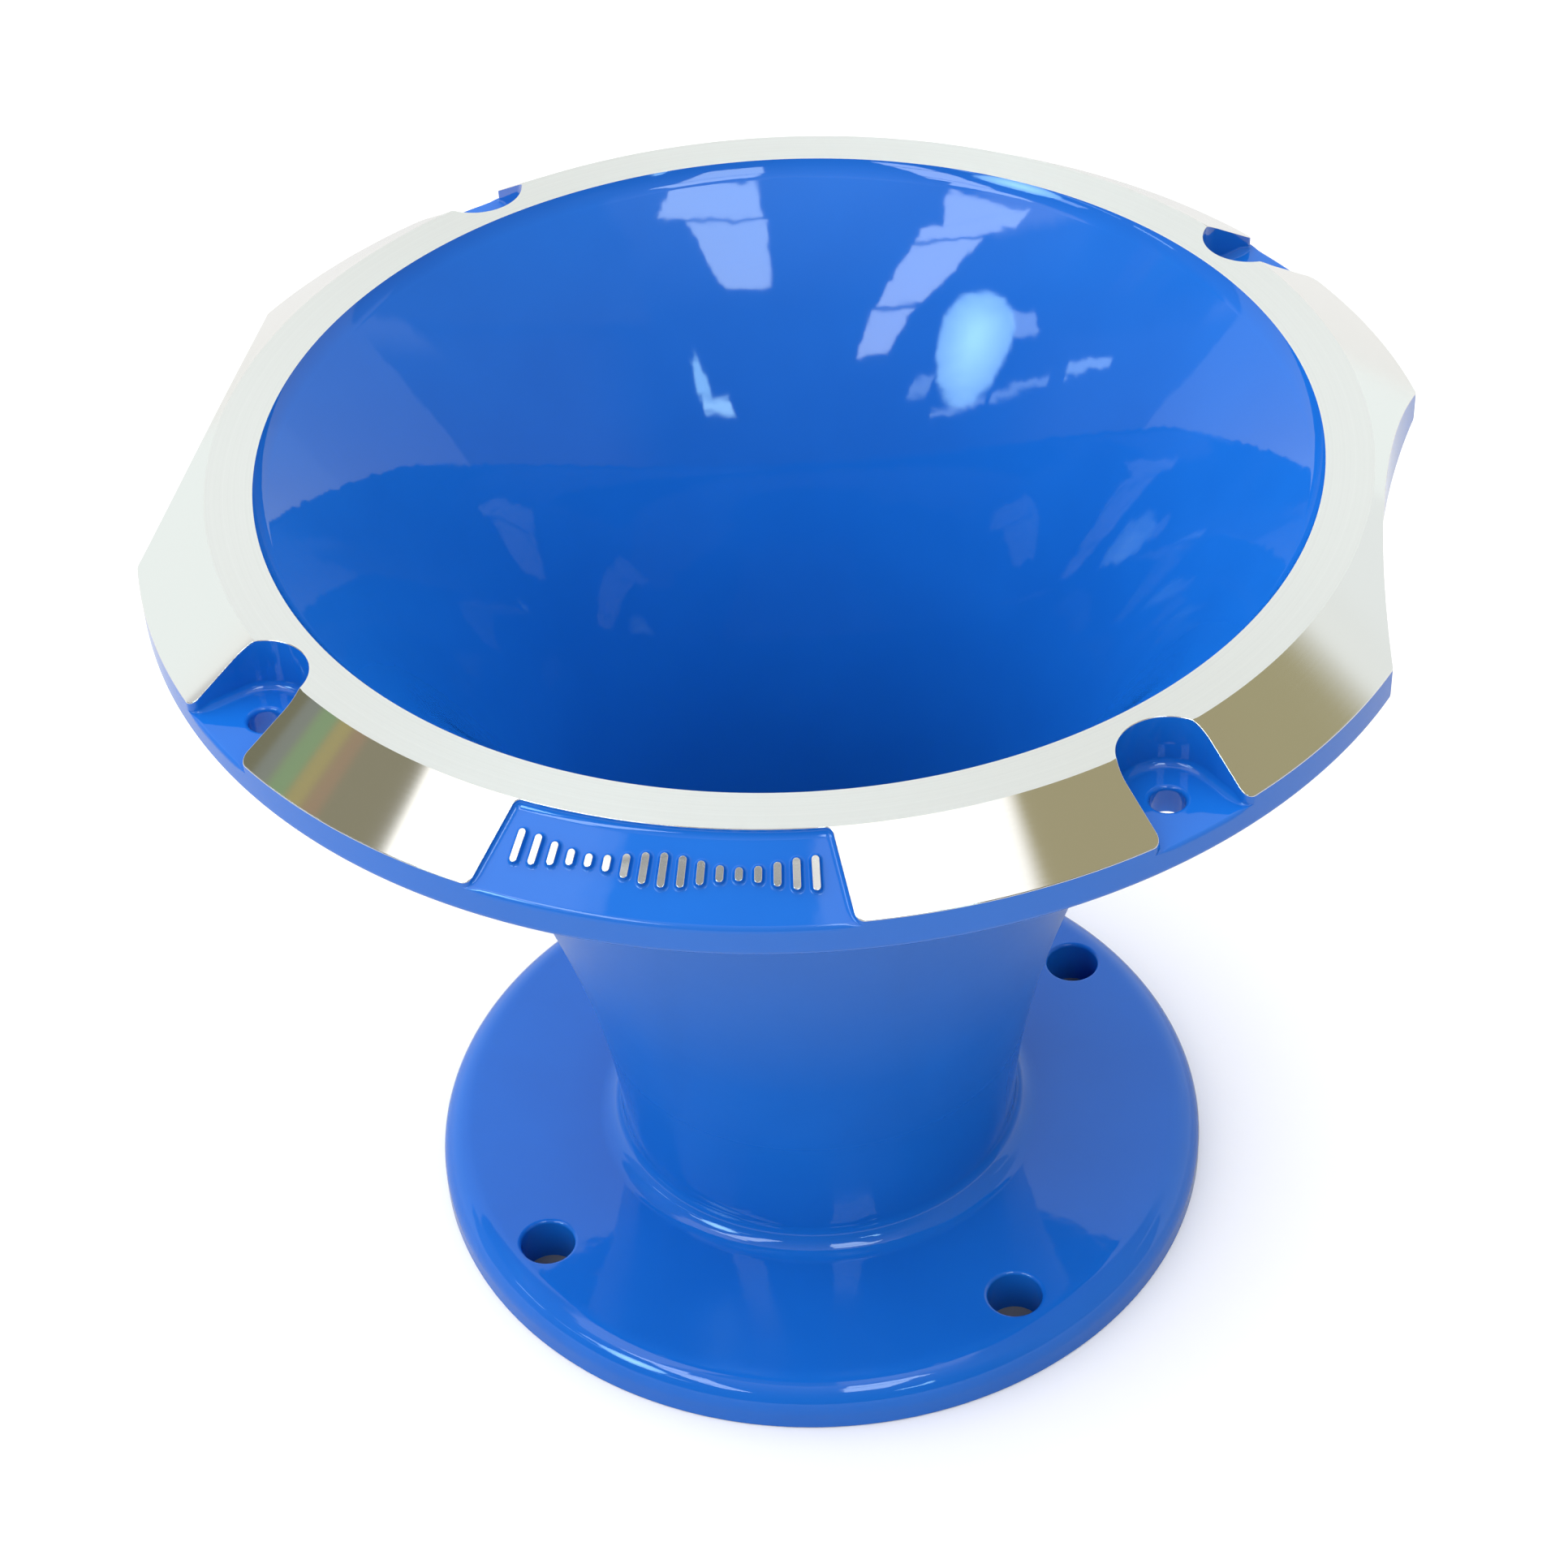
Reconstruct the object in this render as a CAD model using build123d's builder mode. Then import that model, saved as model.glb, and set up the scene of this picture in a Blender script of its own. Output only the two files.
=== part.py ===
from build123d import *
import os
from math import acosh, cos, cosh, hypot, pi, radians, sin, sinh, sqrt, tan

# A cast aluminium horn flare for a bolt-on compression driver. It stands on its driver flange, with
# the bell opening upward. Millimetres, +Z from the driver flange to the mouth, and the origin at the
# centre of the throat on the driver flange's flat underside. The nameplate faces -Y.

# Driving dimensions.
height = 135.5                  # driver flange underside to the flat land round the mouth
throat_radius = 25.0
throat_land = 5.0               # length of the straight throat below the flare
mouth_radius = 72.0             # inner edge of the bright land
lip_radius = 70.2               # where the lip under the land meets the flare
lip_depth = 2.3
mouth_opening = 1.0             # how much wider than a catenary the flare gets at the lip
mouth_opening_depth = 14.0      # over this height
lip_bow = 0.12                  # how far the lip's section is hollowed out from a straight chamfer

driver_flange_radius = 60.0
driver_flange_thickness = 7.75
driver_flange_round = 5.0       # rounding of the flange's upper edge
driver_bolt_circle = 101.6
driver_hole_radius = 4.1
neck_root_fillet = 4.0

land_radius = 78.5              # outer edge of the flat land, where the bright cone starts
rim_radius = 88.4
rim_top = 129.1                 # height of the bright cone's lower edge
rim_underside = 123.8           # the face that sits on a baffle
rim_round = 1.2
bell_root_fillet = 3.0

mouth_bolt_circle = 162.0
mouth_hole_radius = 2.25
pocket_half_width = 6.5         # each screw pocket is a slot centred on its screw hole
pocket_floor = 127.8
pocket_fillet = 0.7

scallop_radius = 155.0          # radius of the two hollows in the sides of the mouth flange
scallop_waist = 80.0            # nearest distance from the axis to a hollow's wall
corner_round = 1.3              # rounding where a cut-out meets the rim

nameplate_depth = 0.8           # how far the nameplate's floor lies below the bright cone
nameplate_half_width = 19.2     # half width of its bay where the bright cone starts
nameplate_splay = 25.4          # degrees, how far each side of the bay leans outward
nameplate_fillet = 0.5

bar_count = 17
bar_width = 1.3
bar_half_span = 12.6            # degrees from the middle bar to the last
bar_ring_radius = 83.1
bar_longest = 4.6
bar_shortest = 1.9
bar_waves = 2                   # how many times the bars swell along the row
bar_draft = 12.0                # degrees
bar_spare = 0.5                 # how far a bar runs past floor and top before it is trimmed to them

skin_thickness = 0.5            # depth of the bright turned face

bolt_count = 4
first_bolt_angle = 45.0
hole_edge_round = 0.6
stock = 6.0                     # how far cutting solids run past the body
tolerance = 0.01                # for picking edges and faces by their place

# The flare inside the bell is a catenary turned about the axis. It opens out a little more just below
# the lip.
lip_height = height - lip_depth
mouth_opening_start = lip_height - mouth_opening_depth
flare_scale = (lip_height - throat_land) / acosh((lip_radius - mouth_opening) / throat_radius)
flare_steps = 20

# The middle of the lip's section, which is an arc hollowed into the metal.
lip_width = mouth_radius - lip_radius
lip_chord = hypot(lip_width, lip_depth)
lip_middle = (
    lip_radius + lip_width / 2 + lip_bow * lip_depth / lip_chord,
    height - lip_depth / 2 - lip_bow * lip_width / lip_chord,
)


def flare_radius(z):
    """Inner radius of the flare at height z."""
    share = max(z - mouth_opening_start, 0) / mouth_opening_depth
    return throat_radius * cosh((z - throat_land) / flare_scale) + mouth_opening * share**2


def flare_slope(z):
    """Change of the flare's radius with height."""
    share = max(z - mouth_opening_start, 0) / mouth_opening_depth
    catenary_slope = throat_radius / flare_scale * sinh((z - throat_land) / flare_scale)
    return catenary_slope + 2 * mouth_opening * share / mouth_opening_depth


flare_points = [
    (flare_radius(z), z)
    for z in [lip_height - (lip_height - throat_land) * i / flare_steps for i in range(flare_steps + 1)]
]

# The outside of the neck and bell, as radius and height from the driver flange to the mouth flange.
neck_outline = [
    (31.0, driver_flange_thickness),
    (33.0, 30.0),
    (37.3, 50.0),
    (43.8, 70.0),
    (52.0, 90.0),
    (61.6, 108.0),
    (72.5, rim_underside),
]

cone_slope = (height - rim_top) / (rim_radius - land_radius)


def cone_height(radius, depth=0.0):
    """Height of the bright cone at a radius, or of a cone that lies depth below it."""
    return height - depth - cone_slope * (radius - land_radius)


def rim_corners(plan):
    """The corners of a plan where a cut-out meets the rim. The circle's own seam lies on +X."""
    return plan.vertices().filter_by(
        lambda v: abs(hypot(v.X, v.Y) - rim_radius) < tolerance and abs(v.Y) > tolerance
    )


# Cutter for the two hollows in the sides of the mouth flange. A ring outside the rim is part of each
# cutter, so that the corners where a cut-out meets the rim can be rounded in plan.
with BuildPart() as scallop_cutter:
    with BuildSketch(Plane.XY.offset(rim_underside - stock)) as scallop_plan:
        Circle(rim_radius + stock)
        Circle(rim_radius, mode=Mode.SUBTRACT)
        with Locations((scallop_waist + scallop_radius, 0), (-scallop_waist - scallop_radius, 0)):
            Circle(scallop_radius)
        Circle(rim_radius + stock, mode=Mode.INTERSECT)
        fillet(rim_corners(scallop_plan), corner_round)
    extrude(amount=height - rim_underside + 2 * stock)

# Cutter for the four screw pockets.
with BuildPart() as pocket_cutter:
    with BuildSketch(Plane.XY.offset(pocket_floor)) as pocket_plan:
        Circle(rim_radius + stock)
        Circle(rim_radius, mode=Mode.SUBTRACT)
        with PolarLocations(mouth_bolt_circle / 2, bolt_count, start_angle=first_bolt_angle):
            Circle(pocket_half_width)
        with PolarLocations(rim_radius, bolt_count, start_angle=first_bolt_angle):
            Rectangle(2 * rim_radius - mouth_bolt_circle, 2 * pocket_half_width)
        fillet(rim_corners(pocket_plan), corner_round)
    extrude(amount=height - pocket_floor + stock)
    fillet(pocket_cutter.edges().group_by(Axis.Z)[0], pocket_fillet)

# Cutter for the nameplate recess: a bay that widens outward, above a cone below the bright one.
bay_start = land_radius - stock
bay_end = rim_radius + stock / 2


def bay_half_width(distance):
    """Half width of the nameplate's bay at a distance in front of the axis."""
    corner_distance = sqrt(land_radius**2 - nameplate_half_width**2)
    return nameplate_half_width + (distance - corner_distance) * tan(radians(nameplate_splay))


with BuildPart() as nameplate_cutter:
    with BuildSketch(Plane.XY.offset(rim_underside)) as nameplate_plan:
        Circle(rim_radius + stock)
        Circle(rim_radius, mode=Mode.SUBTRACT)
        with BuildLine():
            Polyline(
                (-bay_half_width(bay_start), -bay_start),
                (bay_half_width(bay_start), -bay_start),
                (bay_half_width(bay_end), -bay_end),
                (-bay_half_width(bay_end), -bay_end),
                close=True,
            )
        make_face()
        fillet(rim_corners(nameplate_plan), corner_round)
    extrude(amount=height - rim_underside + stock)
    with BuildSketch(Plane.XZ) as nameplate_section:
        floor_start = (land_radius, cone_height(land_radius, nameplate_depth))
        with BuildLine():
            Polyline(
                (land_radius, height + stock),
                floor_start,
                (rim_radius + stock, cone_height(rim_radius + stock, nameplate_depth)),
                (rim_radius + stock, height + stock),
                close=True,
            )
        make_face()
        fillet(nameplate_section.vertices().sort_by_distance(floor_start)[0], nameplate_fillet)
    revolve(axis=Axis.Z, mode=Mode.INTERSECT)

# The whole casting, before its bright face is split from it.
with BuildPart() as blank:
    with BuildSketch(Plane.XZ) as section:
        with BuildLine():
            Polyline(
                (throat_radius, throat_land),
                (throat_radius, 0),
                (driver_flange_radius, 0),
                (driver_flange_radius, driver_flange_thickness),
                neck_outline[0],
            )
            Spline(neck_outline)
            Polyline(
                neck_outline[-1],
                (rim_radius, rim_underside),
                (rim_radius, rim_top),
                (land_radius, height),
                (mouth_radius, height),
            )
            ThreePointArc((mouth_radius, height), lip_middle, (lip_radius, lip_height))
            Spline(flare_points, tangents=[(-flare_slope(lip_height), -1), (0, -1)])
        make_face()
        for corner, rounding in (
            ((driver_flange_radius, driver_flange_thickness), driver_flange_round),
            (neck_outline[0], neck_root_fillet),
            (neck_outline[-1], bell_root_fillet),
        ):
            fillet(section.vertices().sort_by_distance(corner)[0], rounding)
    revolve(axis=Axis.Z)
    add(scallop_cutter.part, mode=Mode.SUBTRACT)
    level_faces = blank.faces().filter_by(Axis.Z)
    rim_face = level_faces.filter_by(lambda f: abs(f.center().Z - rim_underside) < tolerance)[0]
    fillet(rim_face.outer_wire().edges(), rim_round)
    add(pocket_cutter.part, mode=Mode.SUBTRACT)
    add(nameplate_cutter.part, mode=Mode.SUBTRACT)
    with BuildSketch(Plane.XY):
        with PolarLocations(driver_bolt_circle / 2, bolt_count, start_angle=first_bolt_angle):
            Circle(driver_hole_radius)
    extrude(amount=driver_flange_thickness, mode=Mode.SUBTRACT)
    with BuildSketch(Plane.XY.offset(rim_underside)):
        with PolarLocations(mouth_bolt_circle / 2, bolt_count, start_angle=first_bolt_angle):
            Circle(mouth_hole_radius)
    extrude(amount=pocket_floor - rim_underside, mode=Mode.SUBTRACT)
    hole_edges = blank.edges().filter_by(GeomType.CIRCLE)
    for hole_radius, upper_face in (
        (driver_hole_radius, driver_flange_thickness),
        (mouth_hole_radius, pocket_floor),
    ):
        upper_edges = hole_edges.filter_by(
            lambda e: abs(e.radius - hole_radius) < tolerance and abs(e.center().Z - upper_face) < tolerance
        )
        fillet(upper_edges, hole_edge_round)

# The layer just under the land and the cone, which is turned bright.
with BuildPart() as skin:
    with BuildSketch(Plane.XZ):
        with BuildLine():
            Polyline(
                (mouth_radius - stock, height),
                (land_radius, height),
                (rim_radius + stock, cone_height(rim_radius + stock)),
                (rim_radius + stock, cone_height(rim_radius + stock, skin_thickness)),
                (land_radius, height - skin_thickness),
                (mouth_radius - stock, height - skin_thickness),
                close=True,
            )
        make_face()
    revolve(axis=Axis.Z)

# The painted casting: driver flange, neck, bell and mouth flange in one piece.
with BuildPart() as horn_body:
    add(blank.part)
    add(skin.part, mode=Mode.SUBTRACT)

# The bright turned face: the flat land round the mouth and the cone outside it.
with BuildPart() as bezel_ring:
    add(blank.part)
    add(skin.part, mode=Mode.INTERSECT)

# The raised bars of the nameplate, whose tops are turned bright with the cone.
cone_normal_height = 1 / hypot(1, cone_slope)
with BuildPart() as nameplate_bars:
    for i in range(bar_count):
        place = 2 * i / (bar_count - 1) - 1
        azimuth = radians(bar_half_span * place)
        swell = (1 + cos(pi * bar_waves * place)) / 2
        length = bar_shortest + (bar_longest - bar_shortest) * swell
        bar_plane = Plane(
            origin=(
                bar_ring_radius * sin(azimuth),
                -bar_ring_radius * cos(azimuth),
                cone_height(bar_ring_radius, nameplate_depth),
            ),
            x_dir=(cos(azimuth), sin(azimuth), 0),
            z_dir=(cone_slope * sin(azimuth), -cone_slope * cos(azimuth), 1),
        )
        with BuildSketch(bar_plane.offset(-bar_spare)):
            SlotOverall(length, bar_width, rotation=90)
        extrude(amount=nameplate_depth * cone_normal_height + 2 * bar_spare, taper=bar_draft)
    with BuildSketch(Plane.XZ):
        with BuildLine():
            Polyline(
                (land_radius, height),
                (rim_radius, rim_top),
                (rim_radius, rim_top - nameplate_depth),
                (land_radius, height - nameplate_depth),
                close=True,
            )
        make_face()
    revolve(axis=Axis.Z, mode=Mode.INTERSECT)

horn_body.part.label = "horn_body"
bezel_ring.part.label = "bezel_ring"
nameplate_bars.part.label = "nameplate_bars"

os.makedirs("parts", exist_ok=True)
export_step(horn_body.part, "parts/horn_body.step")
export_step(bezel_ring.part, "parts/bezel_ring.step")
export_step(nameplate_bars.part, "parts/nameplate_bars.step")
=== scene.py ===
import bpy
import numpy as np
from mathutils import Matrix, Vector
from mathutils.geometry import delaunay_2d_cdt


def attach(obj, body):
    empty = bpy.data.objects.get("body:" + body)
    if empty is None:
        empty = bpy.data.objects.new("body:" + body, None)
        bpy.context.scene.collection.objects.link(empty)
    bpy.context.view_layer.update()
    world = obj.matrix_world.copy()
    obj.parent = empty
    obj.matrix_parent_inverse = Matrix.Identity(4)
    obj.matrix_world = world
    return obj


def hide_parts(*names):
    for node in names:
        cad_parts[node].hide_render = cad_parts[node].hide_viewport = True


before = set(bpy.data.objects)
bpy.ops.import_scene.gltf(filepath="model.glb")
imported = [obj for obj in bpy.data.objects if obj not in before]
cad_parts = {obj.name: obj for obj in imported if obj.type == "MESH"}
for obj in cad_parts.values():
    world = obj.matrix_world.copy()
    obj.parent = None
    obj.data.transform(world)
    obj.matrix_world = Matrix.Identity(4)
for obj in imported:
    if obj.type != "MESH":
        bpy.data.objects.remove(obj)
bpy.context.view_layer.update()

MM = 0.001

# Mouth flange.
TOP = 135.5                  # height of the flat land round the mouth
MOUTH_RADIUS = 72.0
LAND_RADIUS = 78.5           # where the land ends and the bright cone starts
RIM_RADIUS = 88.4
RIM_TOP = 129.1              # height of the cone's lower edge
RIM_UNDERSIDE = 123.8
RIM_ROUND = 1.2
SKIN = 0.3                   # thickness of the bright layer
BRIGHT_EDGE = 0.1            # rounding where the bright face meets a painted wall
CONE_SLOPE = (TOP - RIM_TOP) / (RIM_RADIUS - LAND_RADIUS)

# Cut-outs in the mouth flange.
CORNER = 1.3                 # rounding in plan where a cut-out meets the rim
FLOOR_EDGE = 0.6             # rounding where a floor meets the rim
SCALLOP_RADIUS = 155.0
SCALLOP_WAIST = 80.0
POCKET_HALF_WIDTH = 6.5
POCKET_RADIUS = 81.0         # distance of each screw hole from the axis
POCKET_FLOOR = 127.8
POCKET_FOOT = 1.2
SCREW_RADIUS = 2.25
BAY_DEPTH = 0.8
BAY_HALF_WIDTH = 19.2        # at the land's outer edge
BAY_SPLAY = np.radians(25.4)
BAY_CORNER = 0.9
BAY_FOOT = 0.75              # width of the fillet at the foot of the bay's wall
BAY_FOOT_RISE = 0.6          # its height over its width, which keeps it below the bright layer
HOLE_EDGE = 0.6
OPENING_TIP = np.radians(1.6)    # how far from a corner the points along an opening are crowded
BOLT_AZIMUTHS = (45.0, 135.0, 225.0, 315.0)

# Bell, neck and driver flange.
LIP_RADIUS = 70.2
LIP_HEIGHT = 133.2
LIP_BOW = 0.12
MOUTH_OPENING = 1.0          # how much wider than a catenary the flare gets at the lip
MOUTH_OPENING_DEPTH = 14.0   # over this height
THROAT_RADIUS = 25.0
THROAT_LAND = 5.0
FLANGE_RADIUS = 60.0
FLANGE_TOP = 7.75
FLANGE_ROUND = 5.0
FLANGE_FOOT = 0.4            # rounding of the flange's lower edge
BOLT_RADIUS = 50.8
BOLT_HOLE_RADIUS = 4.1
NECK_ROOT = 4.0
BELL_ROOT = 3.0
NECK_OUTLINE = ((31.0, 7.75), (33.0, 30.0), (37.3, 50.0), (43.8, 70.0), (52.0, 90.0), (61.6, 108.0), (72.5, 123.8))

# Bars of the nameplate.
BAR_COUNT = 17
BAR_WIDTH = 0.95             # across the bright top
BAR_HALF_SPAN = 12.6
BAR_RING = 83.1
BAR_LONGEST = 4.3
BAR_SHORTEST = 1.7
BAR_WAVES = 2
BAR_DRAFT = 0.17             # how far a side leans out towards the floor
BAR_FOOT = 0.32

TURN_STEPS = 360

# Material numbers of the casting and of the bright bezel.
PAINT = 0
LAND = 1
CONE = 2


# ---------------------------------------------------------------- surfaces

class Surface:
    """Triangles of one piece, with a normal at each corner and a material number for each triangle."""

    def __init__(self):
        self.corners = []
        self.normals = []
        self.materials = []

    def add(self, corners, normals, material):
        """Adds triangles, turned so that they face the way their normals point."""
        across = np.cross(corners[:, 1] - corners[:, 0], corners[:, 2] - corners[:, 0])
        keep = np.linalg.norm(across, axis=1) > 1e-7
        corners, normals, across = corners[keep].copy(), normals[keep].copy(), across[keep]
        wrong = (across * normals.sum(1)).sum(1) < 0
        corners[wrong] = corners[wrong][:, ::-1]
        normals[wrong] = normals[wrong][:, ::-1]
        self.corners.append(corners)
        self.normals.append(normals)
        self.materials.append(np.full(len(corners), material))

    def add_grid(self, rows, material):
        """Adds the faces between neighbouring rows of (places, normals)."""
        places = np.array([r[0] for r in rows])
        normals = np.array([unit(r[1]) for r in rows])
        for order in (((0, 0), (0, 1), (1, 1)), ((0, 0), (1, 1), (1, 0))):
            cells = [(slice(i, places.shape[0] - 1 + i), slice(j, places.shape[1] - 1 + j)) for i, j in order]
            corners = np.stack([places[c].reshape(-1, 3) for c in cells], 1)
            corner_normals = np.stack([normals[c].reshape(-1, 3) for c in cells], 1)
            self.add(corners, corner_normals, material)

    def object(self, name, materials):
        """Makes the piece's mesh object."""
        corners = np.concatenate(self.corners)
        normals = np.concatenate(self.normals)
        numbers = np.concatenate(self.materials)
        keys = np.round(corners.reshape(-1, 3), 4)
        places, index = np.unique(keys, axis=0, return_inverse=True)
        faces = index.reshape(-1, 3)
        whole = (faces[:, 0] != faces[:, 1]) & (faces[:, 1] != faces[:, 2]) & (faces[:, 2] != faces[:, 0])
        mesh = bpy.data.meshes.new(name)
        mesh.from_pydata((places * MM).tolist(), [], faces[whole].tolist())
        for material in materials:
            mesh.materials.append(material)
        mesh.polygons.foreach_set("material_index", numbers[whole].astype(np.int32))
        mesh.polygons.foreach_set("use_smooth", np.ones(len(mesh.polygons), bool))
        mesh.normals_split_custom_set(normals[whole].reshape(-1, 3).tolist())
        mesh.update()
        piece = bpy.data.objects.new(name, mesh)
        bpy.context.scene.collection.objects.link(piece)
        return piece


def unit(vectors):
    """Vectors scaled to length 1."""
    return vectors / np.linalg.norm(vectors, axis=-1, keepdims=True)


def direction(azimuth):
    """Plan direction of an azimuth in radians."""
    return np.stack([np.sin(azimuth), -np.cos(azimuth)], -1)


def lift(plan, z):
    """Plan points at a height."""
    return np.concatenate([plan, np.broadcast_to(z, plan.shape[:-1])[..., None]], -1)


def radius_of(plan):
    """Distance of plan points from the axis."""
    return np.linalg.norm(plan, axis=-1)


# ---------------------------------------------------------------- level faces

class Level:
    """A face of revolution that is seen from above or below: its height and slope by radius."""

    def __init__(self, height, slope, up=1.0):
        self.height = height
        self.slope = slope
        self.up = up

    def normals(self, plan, radius):
        """Normals at plan points, with the slope taken at the given radius."""
        outward = plan / np.maximum(radius_of(plan), 1e-6)[..., None]
        slope = np.broadcast_to(self.slope(radius), plan.shape[:-1])
        return unit(self.up * lift(-outward * slope[..., None], 1.0))


def cone_height(radius):
    """Height of the bright face: the flat land, then the cone."""
    return TOP - CONE_SLOPE * np.maximum(radius - LAND_RADIUS, 0.0)


def flange_height(radius):
    """Height of the driver flange's top, with its rounded edge."""
    past = np.clip(radius - (FLANGE_RADIUS - FLANGE_ROUND), 0.0, FLANGE_ROUND)
    return FLANGE_TOP - FLANGE_ROUND + np.sqrt(FLANGE_ROUND**2 - past**2)


def flange_slope(radius):
    """Slope of the driver flange's top."""
    past = np.clip(radius - (FLANGE_RADIUS - FLANGE_ROUND), 0.0, FLANGE_ROUND - 0.01)
    return -past / np.sqrt(FLANGE_ROUND**2 - past**2)


def flat(z, up=1.0):
    """A level face at one height."""
    return Level(lambda radius: np.full(np.shape(radius), z), lambda radius: np.zeros(np.shape(radius)), up)


bright_face = Level(cone_height, lambda radius: np.where(radius > LAND_RADIUS, -CONE_SLOPE, 0.0))
skin_underside = Level(lambda radius: cone_height(radius) - SKIN, bright_face.slope, -1.0)
skin_seat = Level(lambda radius: cone_height(radius) - SKIN, bright_face.slope)
bay_floor = Level(lambda radius: cone_height(radius) - BAY_DEPTH, lambda radius: np.full(np.shape(radius), -CONE_SLOPE))
pocket_floor = flat(POCKET_FLOOR)
rim_underside = flat(RIM_UNDERSIDE, -1.0)
flange_face = Level(flange_height, flange_slope)
flange_underside = flat(0.0, -1.0)


def inside(points, loops):
    """Which points lie in the area that the closed loops bound, counting crossings."""
    within = np.zeros(len(points), bool)
    for loop in loops:
        start, end = loop, np.roll(loop, -1, axis=0)
        for a, b in zip(start, end):
            if a[1] == b[1]:
                continue
            spans = (a[1] > points[:, 1]) != (b[1] > points[:, 1])
            crossing = a[0] + (points[:, 1] - a[1]) * (b[0] - a[0]) / (b[1] - a[1])
            within ^= spans & (points[:, 0] < crossing)
    return within


def fill(surface, level, loops, material, rings=(), creases=(), by_corner=False, margin=0.5):
    """Fills the area between plan loops with triangles on a level face."""
    loops = [np.asarray(loop) for loop in loops]
    bounds = np.concatenate(loops)
    turn = np.radians(np.arange(0.0, 360.0, 1.5))
    spread = np.concatenate([r * direction(turn + (i % 2) * 0.013) for i, r in enumerate(rings)] or [np.zeros((0, 2))])
    if len(spread):
        spread = spread[inside(spread, loops)]
        near = np.array([np.min(((bounds - p) ** 2).sum(1)) for p in spread])
        spread = spread[near > margin**2]
    crease_points = [c[inside(c, loops)] for c in creases]
    points = np.concatenate([bounds, spread] + crease_points)
    edges = []
    first = 0
    for loop in loops:
        edges += [(first + i, first + (i + 1) % len(loop)) for i in range(len(loop))]
        first += len(loop)
    out = delaunay_2d_cdt([Vector(p) for p in points.tolist()], edges, [], 0, 1e-6, True)
    # The points handed in are used again, because the ones handed back have lost their last digits.
    places = points[[sources[0] for sources in out[3]]]
    triangles = np.array([f for f in out[2] if len(f) == 3])
    plan = places[triangles]
    centres = plan.mean(1)
    kept = inside(centres, loops)
    plan, centres = plan[kept], centres[kept]
    corner_radius = radius_of(plan)
    slope_radius = corner_radius if by_corner else np.repeat(radius_of(centres)[:, None], 3, 1)
    numbers = material(radius_of(centres)) if callable(material) else np.full(len(plan), material)
    corners = lift(plan, level.height(corner_radius))
    normals = level.normals(plan, slope_radius)
    for number in np.unique(numbers):
        surface.add(corners[numbers == number], normals[numbers == number], number)


# ---------------------------------------------------------------- plan curves

class Curve:
    """Points along a cut in plan, with normals that point away from the metal."""

    def __init__(self, points, normals):
        self.points = np.asarray(points, float)
        self.normals = unit(np.asarray(normals, float))

    def mirrored(self):
        """The same curve on the other side of its feature's middle line, running backwards."""
        flip = np.array([1.0, -1.0])
        return Curve((self.points * flip)[::-1], (self.normals * flip)[::-1])

    def turned(self, azimuth):
        """From a feature's own (outward, sideways) axes into the plan, with the feature at an azimuth."""
        outward, sideways = direction(azimuth), direction(azimuth + np.pi / 2)
        axes = np.array([outward, sideways])
        return Curve(self.points @ axes, self.normals @ axes)

    def span(self):
        """Azimuths of the first and last point."""
        ends = self.points[[0, -1]]
        return np.arctan2(ends[:, 0], -ends[:, 1])


def joined(curves):
    """One curve from several that follow each other, without repeated points."""
    points = np.concatenate([c.points for c in curves])
    normals = np.concatenate([c.normals for c in curves])
    step = radius_of(np.diff(points, axis=0))
    keep = np.concatenate([[True], step > 1e-6])
    return Curve(points[keep], normals[keep])


def arc(centre, radius, start, end, side, longest=1.0, steps=8):
    """An arc by angles in a feature's own axes. Side is 1 where the metal is inside the arc, or -1."""
    count = max(steps, int(np.ceil(abs(end - start) * radius / longest)))
    angle = np.linspace(start, end, count + 1)
    heading = np.stack([np.cos(angle), np.sin(angle)], -1)
    return Curve(np.asarray(centre) + radius * heading, side * heading)


def line(start, end, normal, steps):
    """A straight cut."""
    share = np.linspace(0.0, 1.0, steps + 1)[:, None]
    points = np.asarray(start) + (np.asarray(end) - np.asarray(start)) * share
    return Curve(points, np.broadcast_to(normal, points.shape))


def rim_corner(normal, distance):
    """Centre of the rounding between the rim and a straight cut that has the metal on its normal's side."""
    across = np.asarray(normal)
    along = np.array([across[1], -across[0]])
    reach = np.sqrt((RIM_RADIUS - CORNER) ** 2 - (distance + CORNER) ** 2)
    return (distance + CORNER) * across + reach * along


def heading_of(vector):
    """Angle of a vector in a feature's own axes."""
    return np.arctan2(vector[1], vector[0])


def pocket_curve():
    """Half of a screw pocket's wall, from its inner end to the rim."""
    centre = (POCKET_RADIUS, 0.0)
    corner = rim_corner((0.0, 1.0), POCKET_HALF_WIDTH)
    inner = arc(centre, POCKET_HALF_WIDTH, np.pi, np.pi / 2, -1.0, longest=0.5)
    side = line((POCKET_RADIUS, POCKET_HALF_WIDTH), (corner[0], POCKET_HALF_WIDTH), (0.0, -1.0), 8)
    outer = arc(corner, CORNER, -np.pi / 2, heading_of(corner), 1.0)
    return joined([inner, side, outer])


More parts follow.
